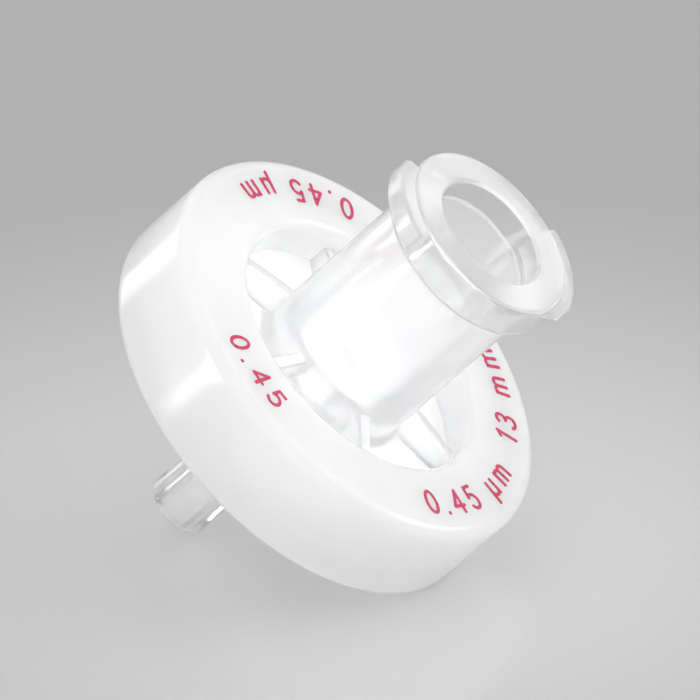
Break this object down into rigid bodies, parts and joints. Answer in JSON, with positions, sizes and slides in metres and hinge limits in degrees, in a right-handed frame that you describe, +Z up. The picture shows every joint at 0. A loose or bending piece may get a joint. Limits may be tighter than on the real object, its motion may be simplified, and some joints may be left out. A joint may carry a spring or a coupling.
{
  "type": "syringe filter",
  "caption": "Small disposable syringe filter: a round housing with a locking taper inlet hub on one side and a narrow outlet tube on the other.",
  "frame": {"origin": "centre of the bounding box at the level of the surface that the filter lies on", "axes": "+Z up. The filter lies on its rim and its outlet tip, so its own axis leans 43 degrees from +Z towards +X, from the outlet tip up to the inlet hub. +Y is across the ring's diameter."},
  "size_m": [0.0159, 0.016, 0.0158],
  "materials": {
    "inlet_polypropylene": "gloss",
    "outlet_polypropylene": "gloss",
    "membrane_ptfe": "matt",
    "ring_polypropylene": "gloss"
  },
  "bodies": {
    "root": {"inlet_half": "inlet_polypropylene", "outlet_half": "outlet_polypropylene", "membrane": "membrane_ptfe", "sealing_ring": "ring_polypropylene"}
  },
  "joints": []
}
